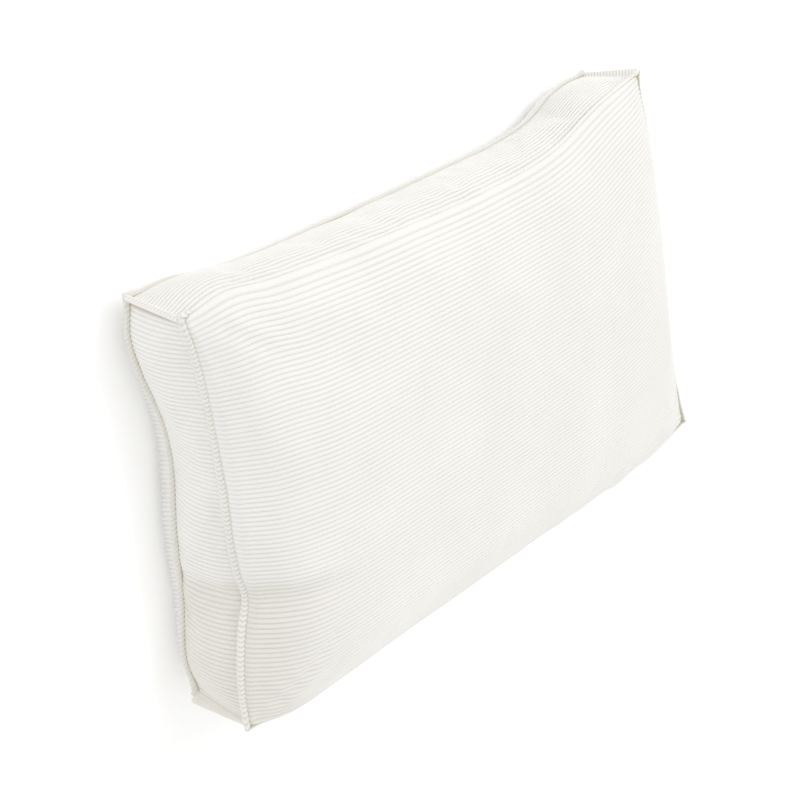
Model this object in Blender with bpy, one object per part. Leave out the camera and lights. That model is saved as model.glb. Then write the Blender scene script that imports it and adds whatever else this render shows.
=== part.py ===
"""Backrest pillow: a filled box cushion with pinched seams, lying on its back.

Metres, +Z up. +X runs along the long side, +Y up the short side as the pillow stands in use, and the
front face looks up. The origin is on the resting plane, under the middle of the whole pillow.
"""

import bpy
import numpy as np

MM = 0.001

# Driving sizes, from seam to seam
FACE_LENGTH = 0.845
FACE_HEIGHT = 0.485
GUSSET_WIDTH = 0.082

# The back seam's height over the resting plane, where the back panel is pressed flat
REST_HEIGHT = 0.028

# The share of the pressed height up to which the back panel bends before it lies flat
PRESS_SOFTNESS = 1.5

# The pinched seam: both panels' allowances, stitched together and standing out
SEAM_STAND = 0.009
TIP_STAND = 0.014
SEAM_ROOT = 0.0028
SEAM_BELLY = 0.0046
SEAM_CREST = 0.0030
BELLY_SHARE = 0.45
CREST_SHARE = 0.92

# Clearance between a seam and the body, and how much more it takes at the tip of a corner
GAP = 0.0004
CORNER_LIFT = 0.0003

# The length over which a seam turns and grows towards the tip of its corner
CORNER_TURN = 0.024

# The least sideways share of a direction that a slope is worked out from
SLIGHT = 0.2

# A short seam stops this far before each corner, clear of the seam that runs round the face
CORNER_CLEARANCE = 0.0040

# Divisions along the length, the height and the gusset's width
LENGTH_STEPS = 36
HEIGHT_STEPS = 22
WIDTH_STEPS = 6

# Part of the way from even divisions to ones that crowd towards the seams
EDGE_CROWDING = 0.55

# Corners: side, end and face, then how far each has settled right, up and forward, in millimetres
CORNERS = {
    ("left", "bottom", "back"): (5.0, 12.0, 2.0),
    ("left", "bottom", "front"): (-2.0, -5.0, -2.0),
    ("left", "top", "back"): (11.0, 2.0, 2.0),
    ("left", "top", "front"): (5.0, -8.0, -2.0),
    ("right", "bottom", "back"): (10.0, 7.0, 2.0),
    ("right", "bottom", "front"): (16.0, 0.0, -2.0),
    ("right", "top", "back"): (-16.0, 0.0, 2.0),
    ("right", "top", "front"): (-19.0, 5.0, -2.0),
}

# Long seams: share of the way from left to right or from bottom to top, and millimetres drawn in
# towards the middle of the face
SEAMS = {
    ("top", "front"): (
        (0.00, 0.0), (0.07, -6.0), (0.14, 5.0), (0.24, 16.0),
        (0.42, 30.0), (0.61, 41.0), (0.79, 37.0), (0.90, 13.0),
        (1.00, 0.0),
    ),
    ("top", "back"): (
        (0.00, 0.0), (0.05, 1.0), (0.16, 19.0), (0.25, 26.0),
        (0.50, 33.0), (0.65, 30.0), (0.79, 34.0), (0.86, 26.0),
        (0.91, 8.0), (0.95, 1.0), (1.00, 0.0),
    ),
    ("bottom", "front"): (
        (0.00, 0.0), (0.06, -8.0), (0.20, -11.0), (0.50, -13.0), (0.84, -21.0), (0.94, -20.0),
        (1.00, 0.0),
    ),
    ("bottom", "back"): (
        (0.00, 0.0), (0.20, 4.0), (0.50, 6.0), (0.80, 4.0), (1.00, 0.0),
    ),
    ("left", "front"): (
        (0.00, 0.0), (0.08, -0.5), (0.22, 13.0), (0.31, 27.0),
        (0.37, 21.5), (0.60, 20.0), (0.80, 16.0), (0.93, 7.5),
        (1.00, 0.0),
    ),
    ("left", "back"): (
        (0.00, 0.0), (0.08, -7.5), (0.24, 4.5), (0.40, 9.5),
        (0.67, 23.0), (0.83, 5.0), (0.92, -2.0), (1.00, 0.0),
    ),
    ("right", "front"): (
        (0.00, 0.0), (0.15, 3.0), (0.50, 1.0), (0.85, 0.0), (1.00, 0.0),
    ),
    ("right", "back"): (
        (0.00, 0.0), (0.15, 5.0), (0.50, 16.0), (0.85, 8.0), (1.00, 0.0),
    ),
}

# Panels, each running along the lower of its two axes and across along the higher: how far it
# swells, in metres, how flat its middle is along and across, how gently it leaves its seams along
# and across, and the share by which it is fuller at its low end than in the middle
PANELS = {
    "front": {"swell": 0.060, "flat": (8.0, 2.4), "gentle": (0.48, 0.50), "lean": 0.28},
    "back": {"swell": 0.062, "flat": (9.0, 6.0), "gentle": (0.50, 0.50), "lean": 0.0},
    "top": {"swell": 0.011, "flat": (7.0, 2.0), "gentle": (0.75, 0.75), "lean": 0.0},
    "bottom": {"swell": 0.018, "flat": (7.0, 2.0), "gentle": (0.75, 0.75), "lean": 0.0},
    "left": {"swell": 0.015, "flat": (5.0, 2.0), "gentle": (0.75, 0.75), "lean": 0.0},
    "right": {"swell": 0.016, "flat": (5.0, 2.0), "gentle": (0.75, 0.75), "lean": 0.0},
}

SIDES = {"left": (0, -1), "right": (0, 1), "bottom": (1, -1), "top": (1, 1), "back": (2, -1), "front": (2, 1)}
HALF_SIZE = np.array([FACE_LENGTH, FACE_HEIGHT, GUSSET_WIDTH]) / 2
RESTING_PLANE = -GUSSET_WIDTH / 2 - REST_HEIGHT

CORDUROY = {"color": (0.86, 0.84, 0.79, 1.0), "roughness": 0.95}
SEAM_CLOTH = {"color": (0.83, 0.81, 0.75, 1.0), "roughness": 0.95}


def clear_scene():
    """Takes away whatever the file opened with."""
    for obj in list(bpy.data.objects):
        bpy.data.objects.remove(obj, do_unlink=True)


def along_rows(rows, t):
    """A smooth curve through rows of (share, value), read at the shares t."""
    share, values = np.array(rows).T
    slopes = np.gradient(values, share)
    t = np.clip(np.asarray(t, float), 0.0, 1.0)
    i = np.clip(np.searchsorted(share, t, side="right") - 1, 0, len(share) - 2)
    width = share[i + 1] - share[i]
    s = (t - share[i]) / width
    start = (1 + 2 * s) * (1 - s) ** 2
    start_slope = s * (1 - s) ** 2 * width
    end_slope = s**2 * (s - 1) * width
    return start * values[i] + (1 - start) * values[i + 1] + start_slope * slopes[i] + end_slope * slopes[i + 1]


def corner(side, end, face):
    """Where three panels meet, in the frame of the pillow's middle."""
    signs = np.array([SIDES[side][1], SIDES[end][1], SIDES[face][1]])
    return signs * HALF_SIZE + np.array(CORNERS[side, end, face]) * MM


def seam(first, second, t):
    """Points along the seam between two panels, t running from 0 to 1 towards +X, +Y or +Z."""
    t = np.asarray(t, float)
    sides = {first, second}
    (axis,) = {0, 1, 2} - {SIDES[name][0] for name in sides}
    ends = {0: ("left", "right"), 1: ("bottom", "top"), 2: ("back", "front")}[axis]
    keys = [sorted(sides | {end}, key=lambda name: SIDES[name][0]) for end in ends]
    start, finish = (corner(*key) for key in keys)
    points = start + (finish - start) * t[..., None]
    edge, face = sorted(sides, key=lambda name: SIDES[name][0])
    if (edge, face) in SEAMS:
        inward_axis, side = SIDES[edge]
        points[..., inward_axis] -= side * along_rows(SEAMS[edge, face], t) * MM
    return points


def swell(s, flat, gentle):
    """0 at both seams and 1 in the middle."""
    return (1 - np.abs(2 * s - 1) ** flat) ** gentle


def pressed(height, room):
    """The back panel's fall into the room under its seams, stopped softly by the resting plane."""
    bend = np.clip(1 - height / (room * PRESS_SOFTNESS), 0.0, 1.0)
    return room * (1 - bend**PRESS_SOFTNESS)


def panel_points(name, u, v):
    """Points of one panel; u and v run towards the higher of its two axes."""
    axis, side = SIDES[name]
    axis_u, axis_v = [other for other in (0, 1, 2) if other != axis]
    ends = {0: ("left", "right"), 1: ("bottom", "top"), 2: ("back", "front")}
    low_u, high_u = ends[axis_u]
    low_v, high_v = ends[axis_v]
    u, v = np.broadcast_arrays(np.asarray(u, float), np.asarray(v, float))
    wu, wv = u[..., None], v[..., None]
    points = (1 - wv) * seam(name, low_v, u) + wv * seam(name, high_v, u)
    points = points + (1 - wu) * seam(name, low_u, v) + wu * seam(name, high_u, v)
    for end_u, share_u in ((low_u, 1 - wu), (high_u, wu)):
        for end_v, share_v in ((low_v, 1 - wv), (high_v, wv)):
            key = sorted((name, end_u, end_v), key=lambda part: SIDES[part][0])
            points = points - share_u * share_v * corner(*key)
    shape = PANELS[name]
    height = shape["swell"] * (1 + shape["lean"] * (1 - 2 * u))
    height = height * swell(u, shape["flat"][0], shape["gentle"][0])
    height = height * swell(v, shape["flat"][1], shape["gentle"][1])
    if name == "back":
        height = pressed(height, points[..., 2] - RESTING_PLANE)
    points[..., axis] += side * height
    return points


def divisions(count):
    """Shares from 0 to 1, closer together near both ends."""
    even = np.linspace(0.0, 1.0, count + 1)
    crowded = (1 - np.cos(np.pi * even)) / 2
    return even + (crowded - even) * EDGE_CROWDING


def gusset_divisions():
    """Shares across the gusset, whose first and last rows start where a short seam does."""
    clearance = CORNER_CLEARANCE / GUSSET_WIDTH
    between = np.linspace(clearance, 1 - clearance, WIDTH_STEPS - 1)
    return np.concatenate([[0.0], between, [1.0]])


STEPS = {0: divisions(LENGTH_STEPS), 1: divisions(HEIGHT_STEPS), 2: gusset_divisions()}


def panel_grid(name):
    """The panel's points on its whole grid, as an array of rows along u."""
    axis = SIDES[name][0]
    axis_u, axis_v = [other for other in (0, 1, 2) if other != axis]
    u, v = np.meshgrid(STEPS[axis_u], STEPS[axis_v], indexing="ij")
    return panel_points(name, u, v)


def cushion_mesh():
    """Vertices and faces of the filled body: six panels that share the points of their seams.

    Each small square of a panel is halved across the way to the nearest corner, so that a corner
    ends in one flat triangle between its seams.
    """
    vertices = []
    faces = []
    index = {}

    def vertex(point):
        key = tuple(np.round(point, 7))
        if key not in index:
            index[key] = len(vertices)
            vertices.append(key)
        return index[key]

    for name, (axis, side) in SIDES.items():
        grid = panel_grid(name)
        numbers = np.array([[vertex(point) for point in row] for row in grid])
        outward = side * (-1 if axis == 1 else 1)
        across_u, across_v = numbers.shape[0] - 1, numbers.shape[1] - 1
        for i in range(across_u):
            for j in range(across_v):
                near, far = numbers[i, j], numbers[i + 1, j + 1]
                beside, above = numbers[i + 1, j], numbers[i, j + 1]
                if (2 * i < across_u) == (2 * j < across_v):
                    halves = [[near, beside, above], [beside, far, above]]
                else:
                    halves = [[near, beside, far], [near, far, above]]
                faces.extend(half if outward > 0 else half[::-1] for half in halves)
    return np.array(vertices), faces


def unit(vectors):
    """The same directions at length 1."""
    return vectors / np.linalg.norm(vectors, axis=-1, keepdims=True)


def into_panel(name, other, points, t):
    """Directions from points of the seam between two panels to the first row inside the first."""
    axis_u, axis_v = [number for number in (0, 1, 2) if number != SIDES[name][0]]
    other_axis, other_side = SIDES[other]
    row = STEPS[other_axis][1 if other_side < 0 else -2]
    u, v = (t, row) if other_axis == axis_v else (row, t)
    return unit(panel_points(name, u, v) - points)


def seam_frames(first, second, t):
    """Points along a seam, the directions into its panels and out, its reach and its clearance."""
    points = seam(first, second, t)
    forward = np.gradient(points, axis=0)
    into = []
    stand = np.zeros_like(points)
    for name, other in ((first, second), (second, first)):
        axis, side = SIDES[name]
        into.append(into_panel(name, other, points, t))
        normal = unit(np.cross(forward, into[-1]))
        stand += normal * np.sign(normal[:, axis] * side)[:, None]
    stand = unit(stand)
    (axis,) = {0, 1, 2} - {SIDES[first][0], SIDES[second][0]}
    reach = np.full(len(t), SEAM_STAND)
    clearance = np.full(len(t), GAP)
    if axis != 2:
        length = 2 * HALF_SIZE[axis]
        for end, distance in ((-1, t * length), (1, (1 - t) * length)):
            turn = np.clip(1 - distance / CORNER_TURN, 0.0, 1.0) ** 2
            stand[:, axis] += end * turn / np.sqrt(2)
            reach += (TIP_STAND - SEAM_STAND) * turn
            clearance += CORNER_LIFT * turn
    return points, np.stack(into, axis=1), unit(stand), reach, clearance


def root_heights(into, stand, sideways, clearance):
    """How far out each side of the root lies, to clear the panel that rises or falls beside it."""
    heights = {}
    for direction in into:
        across = direction @ sideways
        slope = (direction @ stand) / max(abs(across), SLIGHT)
        heights[np.sign(across)] = slope * SEAM_ROOT / 2
    return [clearance + heights.get(side, 0.0) for side in (-1.0, 1.0)]


def seam_section(point, into, stand, reach, clearance, forward):
    """One cross-section of a pinched seam: root, belly and crest, and back down the other side."""
    sideways = unit(np.cross(forward, stand))
    left, right = root_heights(into, stand, sideways, clearance)
    rows = (
        (-SEAM_ROOT / 2, left),
        (-SEAM_BELLY / 2, reach * BELLY_SHARE),
        (-SEAM_CREST / 2, reach * CREST_SHARE),
        (0.0, reach),
        (SEAM_CREST / 2, reach * CREST_SHARE),
        (SEAM_BELLY / 2, reach * BELLY_SHARE),
        (SEAM_ROOT / 2, right),
        (0.0, clearance),
    )
    return [point + sideways * across + stand * out for across, out in rows]


def sweep(frames, closed):
    """Vertices and faces of a pinched seam along its frames, as a ring or with two closed ends."""
    points = frames[0]
    if closed:
        forward = np.roll(points, -1, axis=0) - np.roll(points, 1, axis=0)
    else:
        forward = np.gradient(points, axis=0)
    rings = [seam_section(*row) for row in zip(*frames, forward)]
    size = len(rings[0])
    count = len(rings)
    faces = []
    for i in range(count if closed else count - 1):
        here = i * size
        there = ((i + 1) % count) * size
        for k in range(size):
            n = (k + 1) % size
            faces.append([here + k, here + n, there + n, there + k])
    if not closed:
        faces.append(list(reversed(range(size))))
        faces.append([(count - 1) * size + k for k in range(size)])
    return np.array(rings).reshape(-1, 3), faces


def face_seam(face):
    """The seam all round the front or the back face."""
    length, height = STEPS[0], STEPS[1]
    runs = (
        ("bottom", length[:-1]),
        ("right", height[:-1]),
        ("top", length[::-1][:-1]),
        ("left", height[::-1][:-1]),
    )
    runs = [seam_frames(edge, face, t) for edge, t in runs]
    return sweep([np.concatenate(column) for column in zip(*runs)], closed=True)


def short_seam(side, end):
    """The seam across the gusset at one corner of the faces."""
    return sweep(seam_frames(side, end, STEPS[2][1:-1]), closed=False)


def material(name, look):
    """A cloth material of one colour."""
    cloth = bpy.data.materials.new(name)
    cloth.use_nodes = True
    shader = cloth.node_tree.nodes["Principled BSDF"]
    shader.inputs["Base Color"].default_value = look["color"]
    shader.inputs["Roughness"].default_value = look["roughness"]
    shader.inputs["Metallic"].default_value = 0.0
    return cloth


def add_object(name, vertices, faces, cloth):
    """A smooth-shaded mesh object whose faces point out."""
    mesh = bpy.data.meshes.new(name)
    mesh.from_pydata([tuple(point) for point in vertices], [], faces)
    mesh.shade_smooth()
    mesh.set_sharp_from_angle(angle=np.radians(50.0))
    mesh.materials.append(cloth)
    obj = bpy.data.objects.new(name, mesh)
    bpy.context.scene.collection.objects.link(obj)
    return obj


def build():
    """Makes the filled body and its pinched seams, and stands them on the resting plane."""
    clear_scene()
    corduroy = material("corduroy", CORDUROY)
    seam_cloth = material("seam_corduroy", SEAM_CLOTH)
    pieces = {"cushion": (*cushion_mesh(), corduroy)}
    for face in ("front", "back"):
        pieces[f"{face}_seam"] = (*face_seam(face), seam_cloth)
    for side in ("left", "right"):
        for end in ("top", "bottom"):
            pieces[f"{side}_{end}_seam"] = (*short_seam(side, end), seam_cloth)
    everything = np.concatenate([vertices for vertices, _, _ in pieces.values()])
    middle = (everything.min(axis=0) + everything.max(axis=0)) / 2
    origin = np.array([middle[0], middle[1], RESTING_PLANE])
    for name, (vertices, faces, cloth) in pieces.items():
        add_object(name, vertices - origin, faces, cloth)


build()
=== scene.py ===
"""Looks of the backrest pillow: wide-wale corduroy panels and their pinched seams."""

import bpy
import numpy as np
from mathutils import Matrix


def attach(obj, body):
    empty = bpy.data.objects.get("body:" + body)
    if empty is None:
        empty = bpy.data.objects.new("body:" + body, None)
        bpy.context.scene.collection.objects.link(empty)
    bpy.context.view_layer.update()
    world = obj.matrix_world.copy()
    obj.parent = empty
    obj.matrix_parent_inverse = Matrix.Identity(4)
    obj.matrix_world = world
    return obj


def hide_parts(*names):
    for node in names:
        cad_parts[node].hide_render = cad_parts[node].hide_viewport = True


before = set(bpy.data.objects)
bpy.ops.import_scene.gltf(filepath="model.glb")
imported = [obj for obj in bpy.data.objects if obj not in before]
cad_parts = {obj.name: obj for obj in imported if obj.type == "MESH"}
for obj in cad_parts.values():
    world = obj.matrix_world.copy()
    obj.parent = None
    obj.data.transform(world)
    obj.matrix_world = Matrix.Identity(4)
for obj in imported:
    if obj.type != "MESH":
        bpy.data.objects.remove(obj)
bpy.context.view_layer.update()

MM = 0.001
TINY = 1e-12

# The part's own sizes, from seam to seam
FACE_LENGTH = 0.845
FACE_HEIGHT = 0.485
GUSSET_WIDTH = 0.082

# The back seam's height over the resting plane, and the share of it up to which the back panel bends
# before it lies flat
REST_HEIGHT = 0.028
PRESS_SOFTNESS = 1.5

# The length over which a seam turns and grows towards the tip of its corner
CORNER_TURN = 0.024

# The row frame's origin in the frame of the pillow's middle
ORIGIN = (0.006195, -0.008733, -0.069)

# Corners: side, end and face, then how far each has settled right, up and forward, in millimetres
CORNERS = {
    ("left", "bottom", "back"): (5.0, 12.0, 2.0),
    ("left", "bottom", "front"): (-2.0, -5.0, -2.0),
    ("left", "top", "back"): (8.0, 2.0, 2.0),
    ("left", "top", "front"): (5.0, -8.0, -2.0),
    ("right", "bottom", "back"): (10.0, 7.0, 2.0),
    ("right", "bottom", "front"): (18.5, -1.5, -2.0),
    ("right", "top", "back"): (-16.0, 0.0, 2.0),
    ("right", "top", "front"): (-15.5, 6.0, -2.0),
}

# Long seams: share of the way from left to right or from bottom to top, and millimetres drawn in
# towards the middle of the face
SEAMS = {
    ("top", "front"): (
        (0.00, 0.0), (0.07, -6.0), (0.14, 5.0), (0.24, 16.0), (0.42, 30.0), (0.61, 41.0),
        (0.79, 37.0), (0.90, 13.0), (1.00, 0.0),
    ),
    ("top", "back"): (
        (0.00, 0.0), (0.05, 0.0), (0.16, 14.5), (0.25, 21.0), (0.37, 23.5), (0.50, 27.5),
        (0.65, 29.7), (0.79, 29.5), (0.86, 21.5), (0.91, 5.0), (0.95, -1.0), (1.00, 0.0),
    ),
    ("bottom", "front"): (
        (0.00, 0.0), (0.06, -13.5), (0.16, -16.0), (0.30, -15.5), (0.45, -17.5), (0.62, -18.0),
        (0.76, -20.0), (0.85, -19.5), (0.93, -14.5), (0.97, -9.5), (1.00, 0.0),
    ),
    ("bottom", "back"): (
        (0.00, 0.0), (0.20, 4.0), (0.50, 6.0), (0.80, 4.0), (1.00, 0.0),
    ),
    ("left", "front"): (
        (0.00, 0.0), (0.08, -0.5), (0.22, 13.0), (0.31, 27.0), (0.37, 21.5), (0.60, 20.0),
        (0.80, 16.0), (0.93, 7.5), (1.00, 0.0),
    ),
    ("left", "back"): (
        (0.00, 0.0), (0.08, -9.5), (0.24, 1.0), (0.40, 7.5), (0.67, 19.0), (0.74, 11.0),
        (0.83, -1.5), (0.92, -8.5), (1.00, 0.0),
    ),
    ("right", "front"): (
        (0.00, 0.0), (0.08, 3.5), (0.22, 6.0), (0.38, 3.5), (0.52, 0.0), (0.68, -3.5),
        (0.82, -5.0), (0.93, -3.0), (1.00, 0.0),
    ),
    ("right", "back"): (
        (0.00, 0.0), (0.15, 5.0), (0.50, 16.0), (0.85, 8.0), (1.00, 0.0),
    ),
}

# Panels: how far each swells, how flat its middle is and how gently it leaves its seams, along and
# across, and the share by which it is fuller at its low end
PANELS = {
    "front": {"swell": 0.0600, "flat": (8.0, 2.4), "gentle": (0.48, 0.50), "lean": 0.28},
    "back": {"swell": 0.0620, "flat": (9.0, 6.0), "gentle": (0.50, 0.50), "lean": 0.0},
    "top": {"swell": 0.0125, "flat": (9.0, 2.0), "gentle": (0.75, 0.75), "lean": 0.38},
    "bottom": {"swell": 0.0180, "flat": (7.0, 2.0), "gentle": (0.75, 0.75), "lean": 0.0},
    "left": {"swell": 0.0150, "flat": (5.0, 2.0), "gentle": (0.75, 0.75), "lean": 0.0},
    "right": {"swell": 0.0160, "flat": (5.0, 2.0), "gentle": (0.75, 0.75), "lean": 0.0},
}

# How far the two faces bulge over their seams, along and across, and how near the edge
BULGE = {"front": (0.003, 0.004), "back": (0.013, 0.0)}
BULGE_EDGE = 7

# Soft hollows left by handling: the share where each lies and how wide it is, and its depth
DENTS = {
    "left": (
        {"u": (0.31, 0.022), "v": (0.55, 0.60), "depth": 0.0045},
        {"u": (0.52, 0.10), "v": (0.50, 0.50), "depth": 0.0020},
    ),
    "front": (
        {"u": (0.04, 0.070), "v": (0.30, 0.030), "depth": 0.0045},
        {"u": (0.36, 0.16), "v": (0.22, 0.07), "depth": 0.0030},
        {"u": (0.62, 0.10), "v": (0.80, 0.10), "depth": 0.0030},
    ),
    "top": ({"u": (0.40, 0.030), "v": (0.50, 0.60), "depth": 0.0030},),
}
DENT_EDGE = 0.012

# The sewn cover: its squares along X, Y and Z, the filling's pressure, how many frames it settles
# for, how much longer its cloth is than the smooth form, and the furthest that a point may move
COVER_SQUARES = (56, 34, 8)
COVER_PRESSURE = 1.5
COVER_FRAMES = 20
COVER_EASE = 0.004
COVER_CAP = 0.0022

# Wales: the axis that they are stacked along, how many there are, divisions along them, and depth
WALES = {
    "front": {"stacked": "v", "count": 89, "steps": 104, "depth": 0.00115},
    "back": {"stacked": "v", "count": 89, "steps": 64, "depth": 0.00115},
    "top": {"stacked": "v", "count": 16, "steps": 150, "depth": 0.00190},
    "bottom": {"stacked": "v", "count": 16, "steps": 100, "depth": 0.00130},
    "left": {"stacked": "u", "count": 89, "steps": 30, "depth": 0.00115},
    "right": {"stacked": "u", "count": 89, "steps": 24, "depth": 0.00115},
}
WALE_PITCH = 0.0054

# Where the points lie across one wale, from groove to groove, and how narrow its groove is
WALE_ROWS = (0.0, 0.07, 0.19, 0.35, 0.5, 0.65, 0.81, 0.93)
GROOVE_POWER = 2.4

# How far the points along a wale crowd towards its ends
WALE_CROWDING = 0.7

# How unevenly the wales are spaced, as a share of one, and how unevenly deep they are, each with the
# range of its waves in radians per metre, and how near a panel's edge they fade
WALE_WOBBLE = 0.05
WOBBLE_WAVES = (8.0, 45.0)
DEPTH_UNEVEN = 0.14
DEPTH_WAVES = (20.0, 160.0)
WALE_FADE = 0.0016

# How far up the pinched seams a panel climbs, as a share of their reach, over what distance, and how
# strongly two seams share it at a corner
CLIMB = {"front": 0.50, "back": 0.15, "gusset": 0.15, "short": 0.25}
CLIMB_REACH = 0.0050
CLIMB_STATIONS = 241
CLIMB_SHARING = 1.5

# Where a short seam leans over its side panel and shades it: how far from it, and how strongly
SHADED = {("left", "top"): 0.0090, ("left", "bottom"): 0.0035}
SHADE_STRENGTH = 1.6

# The lower-left corner that is painted in warm shade: the share along Y below which it lies, on the
# left panel at its back and its front edge, and how softly it fades
LOWER_LEFT_SHADE = {"below": (0.300, 0.345), "fade": 0.014, "inwards": 0.10}

# One cross-section of a pinched seam from its root on one side over the crest to the other: share
# of the half thickness sideways and share of the reach outwards
SEAM_SECTION = (
    (-0.62, -0.32), (-0.72, -0.05), (-0.82, 0.14), (-0.93, 0.31), (-1.0, 0.48), (-1.0, 0.63),
    (-0.90, 0.78), (-0.66, 0.90), (-0.34, 0.975), (0.0, 1.0), (0.34, 0.975), (0.66, 0.90),
    (0.90, 0.78), (1.0, 0.63), (1.0, 0.48), (0.93, 0.31), (0.82, 0.14), (0.72, -0.05), (0.62, -0.32),
)

# Seams round the faces, in metres: how far each stands out and half its thickness, along the edges
# and at the tips of the corners. Then shares: how deep the wales that cross it are, how far up the
# painted shade of its crease reaches, and how much painted warm shade it carries
SEAM_SIZES = {
    "front": {
        "bottom": {"reach": 0.0080, "half": 0.0020}, "right": {"reach": 0.0080, "half": 0.0024},
        "top": {"reach": 0.0065, "half": 0.0020}, "left": {"reach": 0.0094, "half": 0.0048},
        "tip": 0.0130, "tip_half": 0.0042, "relief": 1.0, "creased": 0.80, "warm_shade": 0.0,
    },
    "back": {
        "bottom": {"reach": 0.0080, "half": 0.0022}, "right": {"reach": 0.0080, "half": 0.0022},
        "top": {"reach": 0.0058, "half": 0.0018}, "left": {"reach": 0.0070, "half": 0.0029},
        "tip": 0.0125, "tip_half": 0.0030, "relief": 0.55, "creased": 0.32, "warm_shade": 0.9,
    },
}

# The four seams across the gusset: reach at the back and at the front, half the thickness, and how
# far each leans towards its side panel
SHORT_SEAMS = {
    ("left", "top"): {"reach": (0.0095, 0.0100), "half": 0.0036, "lean": -0.60},
    ("left", "bottom"): {"reach": (0.0190, 0.0060), "half": 0.0024, "lean": 0.0},
    ("right", "top"): {"reach": (0.0070, 0.0120), "half": 0.0022, "lean": 0.0},
    ("right", "bottom"): {"reach": (0.0090, 0.0120), "half": 0.0022, "lean": 0.0},
}

# A short seam runs a little past both of its corners, in shares of the gusset's width
SHORT_RUN = (-0.02, 1.02)

# Rows of points to each wale that crosses a seam, points along a long seam, and their crowding
SEAM_ROWS = 8
SEAM_STATIONS = 260
SEAM_CROWDING = 0.80

# Wales over a seam: how far they slant back to the crest, in wales, their depth, how narrow their
# grooves are, how soon they turn across a corner's tip, and how strong they are where they run along
CHEVRON = 1.0
SEAM_WALE_DEPTH = 0.0012
SEAM_GROOVE_POWER = 1.5
TIP_CROSSING = 2.2
ALONG_STRENGTH = {"face": 0.35, "short": 0.25}

# How sharply one side of a seam changes to the other at its crest, and how softly the painted shade
# of a crease ends
CREST_BLEND = 4
CREASE_SOFTNESS = 0.15

# How uneven a seam's reach and thickness are, with the range of its waves in radians per metre
SEAM_UNEVEN = 0.08
SEAM_WAVES = (20.0, 120.0)

SIDES = {
    "left": (0, -1), "right": (0, 1), "bottom": (1, -1), "top": (1, 1), "back": (2, -1), "front": (2, 1),
}
HALF_SIZE = np.array([FACE_LENGTH, FACE_HEIGHT, GUSSET_WIDTH]) / 2
RESTING_PLANE = -GUSSET_WIDTH / 2 - REST_HEIGHT

# How far inside its panel, as a share, a seam's slope is read: along X, Y and Z
INTO_SHARE = {0: 0.0136, 1: 0.0233, 2: 0.0488}

# Colours of the two cloths, each with its ridge and the painted shade in its grooves, of the painted
# shade in the creases at the seams and of the painted warm shade in the lower-left corner
PILE_COLOURS = {
    "corduroy_pile": {"ridge": (0.900, 0.896, 0.876, 1.0), "groove_shade": (0.79, 0.775, 0.73, 1.0)},
    "seam_pile": {"ridge": (0.900, 0.892, 0.866, 1.0), "groove_shade": (0.72, 0.70, 0.63, 1.0)},
}
CREASE_SHADE_COLOUR = (0.56, 0.52, 0.42, 1.0)
WARM_SHADE_TINT = (0.920, 0.908, 0.878, 1.0)
PILE_SHADER = {
    "Roughness": 0.95, "Specular IOR Level": 0.15, "Sheen Weight": 0.35, "Sheen Roughness": 0.45,
    "Sheen Tint": (1.0, 0.98, 0.94, 1.0),
}

# Unevenness of the pile's colour, in broad patches and in single tufts: the range of the noise that
# counts, and the share to which it darkens the cloth
PATCHES = {"scale": 9.0, "detail": 4.0, "range": (0.35, 0.65), "darkest": 0.965}
TUFTS = {"scale": 900.0, "detail": 3.0, "range": (0.3, 0.7), "darkest": 0.94}
TUFT_BUMP = {"Strength": 0.35, "Distance": 0.0004}

FLOOR_HALF = 14.0
FLOOR_SHADER = {
    "Base Color": (0.97, 0.97, 0.97, 1.0), "Roughness": 0.9,
    "Emission Color": (1.0, 1.0, 1.0, 1.0), "Emission Strength": 0.12,
}
SKY = {"Color": (1.0, 0.998, 0.992, 1.0), "Strength": 0.925}
KEY_LIGHT = {"place": (1.0, 1.8, 3.2), "target": (0.0, 0.0, 0.1), "size": 2.0, "power": 31.0}

# The camera in the frame of the pillow's middle: where it stands, the point that it looks at, and
# its roll in degrees
CAMERA_PLACE = (-1.9438, 1.0953, 1.7393)
CAMERA_AIM = (-0.0380, -0.0270, -0.0239)
CAMERA_ROLL = 102.384
FOCAL_LENGTH = 105.7
SENSOR_WIDTH = 36.0
CLIP = (0.1, 100.0)


def unit(vectors):
    """The same directions at length 1."""
    return vectors / np.maximum(np.linalg.norm(vectors, axis=-1, keepdims=True), TINY)


def seed_of(name):
    """A seed for one piece's irregularity."""
    return sum(ord(letter) for letter in name)


def waves(seed, a, b, lowest, highest, count=12):
    """Smooth seeded irregularity, about -1 to 1, over two coordinates."""
    rng = np.random.default_rng(seed)
    total = np.zeros(np.broadcast(a, b).shape)
    for _ in range(count):
        pitch = rng.uniform(lowest, highest)
        angle = rng.uniform(0, 2 * np.pi)
        phase = rng.uniform(0, 2 * np.pi)
        total += np.sin(pitch * (a * np.cos(angle) + b * np.sin(angle)) + phase)
    return total / np.sqrt(count)


def crowded(count, share):
    """Shares from 0 to 1, closer together near both ends."""
    even = np.linspace(0.0, 1.0, count + 1)
    return even + ((1 - np.cos(np.pi * even)) / 2 - even) * share


def across_axes(name):
    """The two axes that a panel spreads along."""
    return [axis for axis in (0, 1, 2) if axis != SIDES[name][0]]


def outward_sign(name):
    """1 where a panel's grid winds so that its faces look out, and -1 where they look in."""
    axis, side = SIDES[name]
    return side * (-1 if axis == 1 else 1)


def along_rows(rows, t):
    """A smooth curve through rows of (share, value), read at the shares t."""
    share, values = np.array(rows).T
    slopes = np.gradient(values, share)
    t = np.clip(np.asarray(t, float), 0.0, 1.0)
    i = np.clip(np.searchsorted(share, t, side="right") - 1, 0, len(share) - 2)
    width = share[i + 1] - share[i]
    s = (t - share[i]) / width
    start = (1 + 2 * s) * (1 - s) ** 2
    start_slope = s * (1 - s) ** 2 * width
    end_slope = s**2 * (s - 1) * width
    reached = start * values[i] + (1 - start) * values[i + 1]
    return reached + start_slope * slopes[i] + end_slope * slopes[i + 1]


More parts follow.
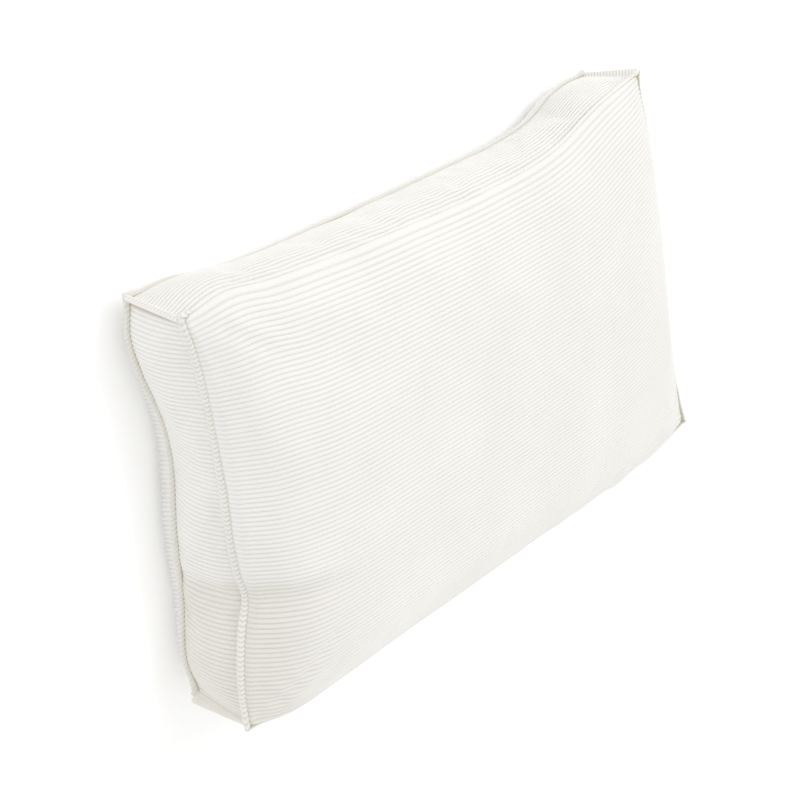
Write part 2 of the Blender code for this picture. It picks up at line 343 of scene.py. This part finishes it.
def corner(side, end, face):
    """Where three panels meet, in the frame of the pillow's middle."""
    signs = np.array([SIDES[side][1], SIDES[end][1], SIDES[face][1]])
    return signs * HALF_SIZE + np.array(CORNERS[side, end, face]) * MM


def seam(first, second, t):
    """Points along the seam between two panels, t running from 0 to 1 towards +X, +Y or +Z."""
    t = np.asarray(t, float)
    sides = {first, second}
    (axis,) = {0, 1, 2} - {SIDES[name][0] for name in sides}
    ends = {0: ("left", "right"), 1: ("bottom", "top"), 2: ("back", "front")}[axis]
    keys = [sorted(sides | {end}, key=lambda name: SIDES[name][0]) for end in ends]
    start, finish = (corner(*key) for key in keys)
    points = start + (finish - start) * t[..., None]
    edge, face = sorted(sides, key=lambda name: SIDES[name][0])
    if (edge, face) in SEAMS:
        inward_axis, side = SIDES[edge]
        points[..., inward_axis] -= side * along_rows(SEAMS[edge, face], t) * MM
    return points


def swell(s, flat, gentle):
    """0 at both seams and 1 in the middle."""
    return np.clip(1 - np.abs(2 * s - 1) ** flat, 0.0, 1.0) ** gentle


def pressed(height, room):
    """The back panel's fall into the room under its seams, stopped softly by the resting plane."""
    bend = np.clip(1 - height / (room * PRESS_SOFTNESS), 0.0, 1.0)
    return room * (1 - bend**PRESS_SOFTNESS)


def panel_points(name, u, v):
    """Points of one panel's smooth form; u and v run towards the higher of its two axes."""
    axis, side = SIDES[name]
    axis_u, axis_v = across_axes(name)
    ends = {0: ("left", "right"), 1: ("bottom", "top"), 2: ("back", "front")}
    low_u, high_u = ends[axis_u]
    low_v, high_v = ends[axis_v]
    u, v = np.broadcast_arrays(np.asarray(u, float), np.asarray(v, float))
    wu, wv = u[..., None], v[..., None]
    points = (1 - wv) * seam(name, low_v, u) + wv * seam(name, high_v, u)
    points = points + (1 - wu) * seam(name, low_u, v) + wu * seam(name, high_u, v)
    for end_u, share_u in ((low_u, 1 - wu), (high_u, wu)):
        for end_v, share_v in ((low_v, 1 - wv), (high_v, wv)):
            key = sorted((name, end_u, end_v), key=lambda part: SIDES[part][0])
            points = points - share_u * share_v * corner(*key)
    shape = PANELS[name]
    height = shape["swell"] * (1 + shape["lean"] * (1 - 2 * u))
    height = height * swell(u, shape["flat"][0], shape["gentle"][0])
    height = height * swell(v, shape["flat"][1], shape["gentle"][1])
    fullest = shape["swell"] * (1 + abs(shape["lean"]))
    if name == "back":
        fullest = points[..., 2] - RESTING_PLANE
        height = pressed(height, fullest)
    if name in BULGE:
        rise = height / fullest
        over = 4 * rise * (1 - rise)
        bulge_u, bulge_v = BULGE[name]
        points[..., axis_u] += bulge_u * over * (2 * u - 1) ** BULGE_EDGE * np.sin(np.pi * v) ** 2
        points[..., axis_v] += bulge_v * over * (2 * v - 1) ** BULGE_EDGE
    points[..., axis] += side * height
    return points


def grid_faces(rows, columns, flip, closed=False):
    """Squares of a grid whose points are numbered row by row."""
    i, j = np.meshgrid(np.arange(rows if closed else rows - 1), np.arange(columns - 1), indexing="ij")
    n = ((i + 1) % rows) * columns
    m = i * columns
    quads = np.stack([m + j, n + j, n + j + 1, m + j + 1], axis=-1).reshape(-1, 4)
    return quads[:, ::-1] if flip else quads


def settled(places, quads, held, ease):
    """Where a cover's points come to rest when it is held at its seams and filled, as cloth."""
    mesh = bpy.data.meshes.new("cover")
    mesh.from_pydata(places.tolist(), [], quads.tolist())
    cover = bpy.data.objects.new("cover", mesh)
    bpy.context.scene.collection.objects.link(cover)
    cover.vertex_groups.new(name="seams").add(held.tolist(), 1.0, "REPLACE")
    cloth = cover.modifiers.new("cloth", "CLOTH")
    cloth.settings.vertex_group_mass = "seams"
    cloth.settings.use_pressure = True
    cloth.settings.uniform_pressure_force = COVER_PRESSURE
    cloth.settings.shrink_min = -ease
    cloth.settings.effector_weights.gravity = 0.0
    cloth.point_cache.frame_start = 1
    cloth.point_cache.frame_end = COVER_FRAMES
    for number in range(1, COVER_FRAMES + 1):
        bpy.context.scene.frame_set(number)
    found = np.empty(len(places) * 3)
    at_rest = cover.evaluated_get(bpy.context.evaluated_depsgraph_get())
    at_rest.data.vertices.foreach_get("co", found)
    bpy.data.objects.remove(cover, do_unlink=True)
    bpy.data.meshes.remove(mesh)
    bpy.context.scene.frame_set(1)
    return found.reshape(-1, 3)


def filled_cover():
    """How far each panel's points move when the sewn cover is filled.

    The cover is filled once to see how far it swells, cut that much smaller, eased and filled again.
    """
    places, keys, quads, counted = [], [], [], 0
    parts = {}
    for name in PANELS:
        axis, side = SIDES[name]
        axis_u, axis_v = across_axes(name)
        rows, columns = COVER_SQUARES[axis_u] + 1, COVER_SQUARES[axis_v] + 1
        i, j = np.meshgrid(np.arange(rows), np.arange(columns), indexing="ij")
        key = np.zeros((rows, columns, 3), int)
        key[..., axis_u], key[..., axis_v] = i, j
        key[..., axis] = 0 if side < 0 else COVER_SQUARES[axis]
        places.append(panel_points(name, i / (rows - 1), j / (columns - 1)).reshape(-1, 3))
        keys.append(key.reshape(-1, 3))
        quads.append(grid_faces(rows, columns, outward_sign(name) < 0) + counted)
        parts[name] = (slice(counted, counted + rows * columns), (rows, columns, 3))
        counted += rows * columns
    keys, places = np.concatenate(keys), np.concatenate(places)
    _, first, welded = np.unique(keys, axis=0, return_index=True, return_inverse=True)
    welded = welded.reshape(-1)
    smooth, keys = places[first], keys[first]
    quads = welded[np.concatenate(quads)]
    held = np.flatnonzero(((keys == 0) | (keys == np.array(COVER_SQUARES))).sum(axis=1) > 1)
    swelling = settled(smooth, quads, held, 0.0) - smooth
    swelling[keys[:, 2] == 0] = 0.0
    move = settled(smooth - swelling, quads, held, COVER_EASE) - smooth
    length = np.linalg.norm(move, axis=-1, keepdims=True)
    move = move * np.tanh(length / COVER_CAP) * COVER_CAP / np.maximum(length, TINY)
    return {name: move[welded][part].reshape(shape) for name, (part, shape) in parts.items()}


def read_between(grid, u, v):
    """A smooth reading of a grid of vectors at the shares u and v (Catmull-Rom)."""
    found = 0.0
    reads = []
    for share, count in ((u, grid.shape[0]), (v, grid.shape[1])):
        place = np.clip(share, 0.0, 1.0) * (count - 1)
        low = np.clip(np.floor(place).astype(int), 0, count - 2)
        s = place - low
        weights = (
            -0.5 * s + s**2 - 0.5 * s**3, 1 - 2.5 * s**2 + 1.5 * s**3,
            0.5 * s + 2 * s**2 - 1.5 * s**3, -0.5 * s**2 + 0.5 * s**3,
        )
        reads.append([(np.clip(low + k - 1, 0, count - 1), weights[k]) for k in range(4)])
    for i, weight_i in reads[0]:
        for j, weight_j in reads[1]:
            found = found + grid[i, j] * (weight_i * weight_j)[..., None]
    return found


def normals_of(points, outward):
    """Outward normals of a grid of points."""
    across = np.gradient(points, axis=0)
    along = np.gradient(points, axis=1)
    return unit(np.cross(across, along)) * outward


def add_mesh(name, points, quads, marks, cloth):
    """A smooth-shaded mesh in the row frame, with marks from 0 to 1 that its material reads."""
    points = np.asarray(points).reshape(-1, 3) - np.array(ORIGIN)
    mesh = bpy.data.meshes.new(name)
    mesh.vertices.add(len(points))
    mesh.vertices.foreach_set("co", points.ravel())
    mesh.loops.add(len(quads) * 4)
    mesh.loops.foreach_set("vertex_index", np.ascontiguousarray(quads).ravel())
    mesh.polygons.add(len(quads))
    mesh.polygons.foreach_set("loop_start", np.arange(len(quads)) * 4)
    mesh.update(calc_edges=True)
    mesh.validate()
    mesh.shade_smooth()
    for label, values in marks.items():
        mark = mesh.attributes.new(label, "FLOAT", "POINT")
        mark.data.foreach_set("value", np.clip(np.asarray(values, float).ravel(), 0.0, 1.0))
    mesh.materials.append(cloth)
    obj = bpy.data.objects.new(name, mesh)
    bpy.context.scene.collection.objects.link(obj)
    return obj


def seam_frames(first, second, t, reach_here, tip):
    """Points along a seam, the direction in which it stands out, how far, and how near its corner."""
    points = seam(first, second, t)
    forward = np.gradient(points, axis=0)
    stand = np.zeros_like(points)
    for name, other in ((first, second), (second, first)):
        axis, side = SIDES[name]
        _, axis_v = across_axes(name)
        other_axis, other_side = SIDES[other]
        share = INTO_SHARE[other_axis]
        row = share if other_side < 0 else 1 - share
        u, v = (t, row) if other_axis == axis_v else (row, t)
        normal = unit(np.cross(forward, unit(panel_points(name, u, v) - points)))
        stand += normal * np.sign(normal[:, axis] * side)[:, None]
    stand = unit(stand)
    (axis,) = {0, 1, 2} - {SIDES[first][0], SIDES[second][0]}
    reach = np.full(len(t), reach_here)
    turned = np.zeros(len(t))
    if axis != 2:
        length = 2 * HALF_SIZE[axis]
        for end, distance in ((-1, t * length), (1, (1 - t) * length)):
            turn = np.clip(1 - distance / CORNER_TURN, 0.0, 1.0) ** 2
            stand[:, axis] += end * turn / np.sqrt(2)
            reach += (tip - reach_here) * turn
            turned += turn
    return points, unit(stand), reach, turned


def short_stand(side, end, t):
    """The direction in which the seam at one corner stands out, and how far."""
    size = SHORT_SEAMS[side, end]
    _, stand, _, _ = seam_frames(side, end, t, 0.0, 0.0)
    stand[:, 0] += size["lean"]
    back, front = size["reach"]
    return unit(stand), back + (front - back) * t


def climb(name, u, v):
    """How far a panel's points are carried out where it climbs its pinched seams."""
    axis, _ = SIDES[name]
    axis_u, _ = across_axes(name)
    t = np.linspace(0.0, 1.0, CLIMB_STATIONS)
    carried = np.zeros(u.shape + (3,))
    weight = np.zeros(u.shape)
    for other, (other_axis, other_side) in SIDES.items():
        if other_axis == axis:
            continue
        if 2 in (axis, other_axis):
            face, edge = (name, other) if axis == 2 else (other, name)
            size = SEAM_SIZES[face]
            _, stand, reach, _ = seam_frames(edge, face, t, size[edge]["reach"], size["tip"])
            share_up = CLIMB[name if axis == 2 else "gusset"]
        else:
            side, end = (name, other) if axis == 0 else (other, name)
            stand, reach = short_stand(side, end, t)
            share_up = CLIMB["short"]
        share, along = (u, v) if other_axis == axis_u else (v, u)
        lift = np.stack([np.interp(along, t, row) for row in (stand * reach[:, None]).T], axis=-1)
        distance = (share if other_side < 0 else 1 - share) * 2 * HALF_SIZE[other_axis]
        near = np.exp(-((distance / CLIMB_REACH) ** 2))
        carried += share_up * lift * near[..., None]
        weight += near
    return carried / np.maximum(weight, 1.0)[..., None] ** CLIMB_SHARING


def warm_shade(name, u, v):
    """Where warm shade is painted, from 0 to 1, in the lower corner at the left."""
    low, high = LOWER_LEFT_SHADE["below"]
    if name == "left":
        return (1 + np.tanh((low + (high - low) * v - u) / LOWER_LEFT_SHADE["fade"])) / 2
    if name == "front":
        lower = (1 + np.tanh((high - v) / LOWER_LEFT_SHADE["fade"])) / 2
        return lower * np.exp(-((u / LOWER_LEFT_SHADE["inwards"]) ** 2))
    return np.zeros(u.shape)


def shaded(name, u, size_u):
    """Where a short seam shades its side panel, from 0 to 1."""
    shade = np.zeros(u.shape)
    for (panel_name, end), reach in SHADED.items():
        if panel_name == name:
            distance = (u if end == "bottom" else 1 - u) * size_u
            shade = np.maximum(shade, np.clip(SHADE_STRENGTH * (1 - distance / reach), 0.0, 1.0))
    return shade


def hollows(name, u, v):
    """How deep a panel's points lie in the hollows left by handling."""
    longest = 2 * HALF_SIZE[across_axes(name)].max()
    inside = np.minimum(np.minimum(u, 1 - u), np.minimum(v, 1 - v)) * longest
    depth = np.zeros(u.shape)
    for dent in DENTS.get(name, ()):
        hollow = np.full(u.shape, dent["depth"])
        for share, (middle, width) in ((u, dent["u"]), (v, dent["v"])):
            hollow *= np.exp(-(((share - middle) / width) ** 2))
        depth += hollow
    return depth * np.clip(inside / DENT_EDGE, 0.0, 1.0)


def wale_rows(count):
    """Shares across a stack of wales, and how deep in a groove each lies, from 0 to 1."""
    rows = np.array(WALE_ROWS)
    shares = (np.arange(count)[:, None] + rows).ravel() / count
    groove = np.tile(np.abs(2 * rows - 1) ** GROOVE_POWER, count)
    return np.append(shares, 1.0), np.append(groove, 1.0)


def wale_grid(name, size_u, size_v):
    """Shares u and v of a panel's points, and how deep in a groove each lies."""
    count = WALES[name]["count"]
    across, groove = wale_rows(count)
    along = crowded(WALES[name]["steps"], WALE_CROWDING)
    upwards = WALES[name]["stacked"] == "v"
    u, v = np.meshgrid(*((along, across) if upwards else (across, along)), indexing="ij")
    depth = np.broadcast_to(groove if upwards else groove[:, None], u.shape)
    shift = waves(seed_of(name) + 1, u * size_u, v * size_v, *WOBBLE_WAVES) * WALE_WOBBLE / count
    stacked = v if upwards else u
    stacked = stacked + shift * np.clip(np.minimum(stacked, 1 - stacked) * count, 0.0, 1.0)
    return (u, stacked, depth) if upwards else (stacked, v, depth)


def panel(name, cloth, moved):
    """One panel of corduroy: its filled form, and its wales sunk into it as raised ridges."""
    axis, side = SIDES[name]
    size_u, size_v = 2 * HALF_SIZE[across_axes(name)]
    u, v, depth = wale_grid(name, size_u, size_v)
    points = panel_points(name, u, v)
    if moved:
        points = points + read_between(moved[name], u, v)
    points = points + climb(name, u, v)
    points[..., axis] -= side * hollows(name, u, v)
    points[..., 2] = np.maximum(points[..., 2], RESTING_PLANE)
    outward = outward_sign(name)
    edge = np.minimum(np.minimum(u, 1 - u) * size_u, np.minimum(v, 1 - v) * size_v)
    fade = np.clip(edge / WALE_FADE, 0.0, 1.0)
    uneven = 1 + DEPTH_UNEVEN * waves(seed_of(name), u * size_u, v * size_v, *DEPTH_WAVES)
    sunk = WALES[name]["depth"] * depth * fade * uneven
    points = points - normals_of(points, outward) * sunk[..., None]
    quads = grid_faces(u.shape[0], u.shape[1], outward < 0)
    # Marks for painted shade: in the grooves, under a leaning short seam, and in the lower-left corner
    marks = {"groove": depth * fade, "crease": shaded(name, u, size_u), "warm_shade": warm_shade(name, u, v)}
    return add_mesh(f"{name}_panel", points, quads, marks, cloth)


def seam_strip(points, stand, reach, half, relief, closed):
    """Points of a pinched seam and how deep in a groove and in its crease each lies.

    relief holds, at each station, the number of the wale that crosses there, how strongly wales
    cross the strip's two sides and run along them, and the share of the reach up to which the first
    side lies in its crease.
    """
    if closed:
        forward = np.roll(points, -1, axis=0) - np.roll(points, 1, axis=0)
    else:
        forward = np.gradient(points, axis=0)
    sideways = unit(np.cross(forward, stand))
    section = np.array(SEAM_SECTION)
    share = section[:, 1]
    offset = section[:, 0] * half[:, None]
    place = points[:, None] + sideways[:, None] * offset[..., None]
    place = place + stand[:, None] * (reach[:, None] * share)[..., None]
    around = np.linspace(-1, 1, len(section))
    second = np.clip(0.5 + around * CREST_BLEND, 0.0, 1.0)
    crossing, along = (
        one[:, None] * (1 - second) + other[:, None] * second
        for one, other in (relief["cross"], relief["along"])
    )
    phase = relief["wale"][:, None] - CHEVRON * np.abs(around)
    cross = np.abs(2 * (phase % 1.0) - 1) ** SEAM_GROOVE_POWER * crossing
    up_phase = (share * reach[:, None] / WALE_PITCH + 0.5) % 1.0
    depth = np.clip(cross + np.abs(2 * up_phase - 1) ** GROOVE_POWER * along, 0.0, 1.0)
    normal = unit(np.cross(np.gradient(place, axis=1), forward[:, None]))
    outward = np.sign((normal[:, len(section) // 2] * stand).sum(-1))
    normal = normal * outward[:, None, None]
    # The crease mark is where painted shade goes, at the root of the strip's first side
    crease = np.clip((relief["creased"] - share) / CREASE_SOFTNESS, 0.0, 1.0) * (around < 0)
    crease = np.broadcast_to(crease, depth.shape)
    return place - normal * (SEAM_WALE_DEPTH * depth)[..., None], depth, crease


def face_seam(face, cloth):
    """The pinched seam all round the front or the back face."""
    sizes = SEAM_SIZES[face]
    count = WALES["left"]["count"]
    height = np.linspace(0, 1, count * SEAM_ROWS + 1)
    length = crowded(SEAM_STATIONS, SEAM_CROWDING)
    runs = (
        ("bottom", length[:-1]),
        ("right", height[:-1]),
        ("top", length[::-1][:-1]),
        ("left", height[::-1][:-1]),
    )
    columns = []
    for edge, t in runs:
        points, stand, reach, turned = seam_frames(edge, face, t, sizes[edge]["reach"], sizes["tip"])
        half = sizes[edge]["half"] + (sizes["tip_half"] - sizes[edge]["half"]) * turned
        if SIDES[edge][0] == 0:
            wale = t * count
            cross = np.ones(len(t))
        else:
            from_end = np.minimum(t, 1 - t) * FACE_LENGTH / WALE_PITCH
            wale = count + from_end if edge == "top" else -from_end
            cross = np.clip(turned * TIP_CROSSING, 0.0, 1.0)
        columns.append((points, stand, reach, half, wale, cross))
    points, stand, reach, half, wale, cross = (np.concatenate(column) for column in zip(*columns))
    uneven = 1 + SEAM_UNEVEN * waves(seed_of(face), points[:, 0], points[:, 1], *SEAM_WAVES)
    along = (1 - cross) * ALONG_STRENGTH["face"]
    cross = cross * sizes["relief"]
    relief = {"wale": wale, "cross": (cross, cross), "along": (along, along), "creased": sizes["creased"]}
    place, depth, crease = seam_strip(points, stand, reach * uneven, half * uneven, relief, closed=True)
    quads = grid_faces(place.shape[0], place.shape[1], False, closed=True)
    # Marks for painted shade: in the grooves, in the crease and, on the back piping, warm shade
    marks = {"groove": depth, "crease": crease, "warm_shade": np.full(depth.shape, sizes["warm_shade"])}
    return add_mesh(f"{face}_piping", place, quads, marks, cloth)


def short_seam(side, end, cloth):
    """The pinched seam across the gusset at one corner of the faces."""
    count = WALES["top"]["count"]
    t = np.linspace(*SHORT_RUN, count * SEAM_ROWS + 1)
    points = seam(side, end, t)
    stand, reach = short_stand(side, end, t)
    sideways = np.cross(points[-1] - points[0], stand[len(t) // 2])
    end_first = sideways[1] * SIDES[end][1] < 0
    none, full = np.zeros(len(t)), np.ones(len(t))
    run = full * ALONG_STRENGTH["short"]
    relief = {
        "wale": t * count,
        "cross": (full, none) if end_first else (none, full),
        "along": (none, run) if end_first else (run, none),
        "creased": 0.0,
    }
    half = full * SHORT_SEAMS[side, end]["half"]
    place, depth, crease = seam_strip(points, stand, reach, half, relief, closed=False)
    closing = [np.broadcast_to(row.mean(axis=0), row.shape)[None] for row in (place[0], place[-1])]
    place = np.concatenate([closing[0], place, closing[1]])
    depth, crease = (np.concatenate([mark[:1], mark, mark[-1:]]) for mark in (depth, crease))
    quads = grid_faces(place.shape[0], place.shape[1], False)
    # Marks for painted shade in the grooves; the seam at the lower left also gets painted warm shade
    marks = {"groove": depth, "crease": crease}
    if (side, end) == ("left", "bottom"):
        marks["warm_shade"] = np.ones(depth.shape)
    return add_mesh(f"{side}_{end}_piping", place, quads, marks, cloth)


def set_inputs(node, values):
    """Sets a node's own sockets."""
    for socket, value in values.items():
        node.inputs[socket].default_value = value


def corduroy(name, ridge, groove_shade):
    """Cut pile in wales: pale ridges, painted shade in grooves, brown in seam creases, warm at lower
    left.
    """
    cloth = bpy.data.materials.new(name)
    cloth.use_nodes = True
    nodes, links = cloth.node_tree.nodes, cloth.node_tree.links
    where = nodes.new("ShaderNodeTexCoord").outputs["Object"]

    def mark(label):
        """One of the marks that the mesh carries."""
        node = nodes.new("ShaderNodeAttribute")
        node.attribute_name = label
        return node.outputs["Fac"]

    def noise(look):
        """Noise over the cloth, and the share to which it darkens it."""
        node = nodes.new("ShaderNodeTexNoise")
        set_inputs(node, {"Scale": look["scale"], "Detail": look["detail"]})
        links.new(where, node.inputs["Vector"])
        darker = nodes.new("ShaderNodeMapRange")
        low, high = look["range"]
        set_inputs(darker, {"From Min": low, "From Max": high, "To Min": look["darkest"], "To Max": 1.0})
        links.new(node.outputs["Fac"], darker.inputs["Value"])
        return node.outputs["Fac"], darker.outputs["Result"]

    def tinted(colour, label, second, way="MIX"):
        """The colour with the second one laid over it where a mark says so."""
        node = nodes.new("ShaderNodeMix")
        node.data_type = "RGBA"
        node.blend_type = way
        if isinstance(colour, tuple):
            node.inputs["A"].default_value = colour
        else:
            links.new(colour, node.inputs["A"])
        node.inputs["B"].default_value = second
        links.new(mark(label), node.inputs["Factor"])
        return node.outputs["Result"]

    # Painted shade: the groove colour darkens the grooves between the wales
    colour = tinted(ridge, "groove", groove_shade)
    # Painted shade: brown in the creases at the seams and under the leaning short seams
    colour = tinted(colour, "crease", CREASE_SHADE_COLOUR)
    # Painted shade: a warm darkening over the lower-left corner and the back piping
    colour = tinted(colour, "warm_shade", WARM_SHADE_TINT, "MULTIPLY")
    _, patchy = noise(PATCHES)
    tufts, tufted = noise(TUFTS)
    both = nodes.new("ShaderNodeMath")
    both.operation = "MULTIPLY"
    links.new(patchy, both.inputs[0])
    links.new(tufted, both.inputs[1])
    shade = nodes.new("ShaderNodeVectorMath")
    shade.operation = "SCALE"
    links.new(colour, shade.inputs[0])
    links.new(both.outputs["Value"], shade.inputs["Scale"])
    bump = nodes.new("ShaderNodeBump")
    set_inputs(bump, TUFT_BUMP)
    links.new(tufts, bump.inputs["Height"])
    shader = nodes["Principled BSDF"]
    set_inputs(shader, PILE_SHADER)
    links.new(shade.outputs["Vector"], shader.inputs["Base Color"])
    links.new(bump.outputs["Normal"], shader.inputs["Normal"])
    return cloth


def facing(place, target, roll=0.0):
    """Where a lamp or camera stands that looks at the target, rolled by so many degrees."""
    ahead = unit(np.array(target) - np.array(place))
    level = unit(np.cross(ahead, (0.0, 0.0, 1.0)))
    above = np.cross(level, ahead)
    turn = np.radians(roll)
    right = np.cos(turn) * level + np.sin(turn) * above
    up = np.cos(turn) * above - np.sin(turn) * level
    rows = [[right[k], up[k], -ahead[k], place[k]] for k in range(3)]
    return Matrix(rows + [[0, 0, 0, 1]])


def floor():
    """A plain pale floor under the pillow."""
    paint = bpy.data.materials.new("pale_floor")
    paint.use_nodes = True
    set_inputs(paint.node_tree.nodes["Principled BSDF"], FLOOR_SHADER)
    turns = ((-1, -1), (1, -1), (1, 1), (-1, 1))
    mesh = bpy.data.meshes.new("floor")
    mesh.from_pydata([(x * FLOOR_HALF, y * FLOOR_HALF, 0.0) for x, y in turns], [], [(0, 1, 2, 3)])
    mesh.materials.append(paint)
    obj = bpy.data.objects.new("floor", mesh)
    bpy.context.scene.collection.objects.link(obj)


def lights():
    """Soft studio light, brightest from high over the top edge, at the right."""
    world = bpy.data.worlds.new("studio")
    bpy.context.scene.world = world
    world.use_nodes = True
    set_inputs(world.node_tree.nodes["Background"], SKY)
    lamp = bpy.data.lights.new("key", "AREA")
    lamp.shape = "SQUARE"
    lamp.size = KEY_LIGHT["size"]
    lamp.energy = KEY_LIGHT["power"]
    obj = bpy.data.objects.new("key", lamp)
    obj.matrix_world = facing(KEY_LIGHT["place"], KEY_LIGHT["target"])
    bpy.context.scene.collection.objects.link(obj)


def camera():
    """The photograph's view of the front face."""
    lens = bpy.data.cameras.new("camera")
    lens.lens = FOCAL_LENGTH
    lens.sensor_width = SENSOR_WIDTH
    lens.clip_start, lens.clip_end = CLIP
    obj = bpy.data.objects.new("camera", lens)
    place, aim = (np.array(point) - np.array(ORIGIN) for point in (CAMERA_PLACE, CAMERA_AIM))
    obj.matrix_world = facing(place, aim, CAMERA_ROLL)
    bpy.context.scene.collection.objects.link(obj)
    bpy.context.scene.camera = obj


def dress(piece, node):
    """Puts a piece in the place of its CAD node."""
    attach(piece, "root")
    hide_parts(node)


def build():
    """Dresses the whole pillow."""
    cloth, seam_cloth = (corduroy(name, **colours) for name, colours in PILE_COLOURS.items())
    moved = filled_cover()
    for name in PANELS:
        piece = panel(name, cloth, moved)
        dress(piece, "cushion")
    for face in ("front", "back"):
        dress(face_seam(face, seam_cloth), f"{face}_seam")
    for side in ("left", "right"):
        for end in ("top", "bottom"):
            dress(short_seam(side, end, seam_cloth), f"{side}_{end}_seam")


build()
floor()
lights()
camera()
bpy.context.scene.view_settings.view_transform = "Standard"
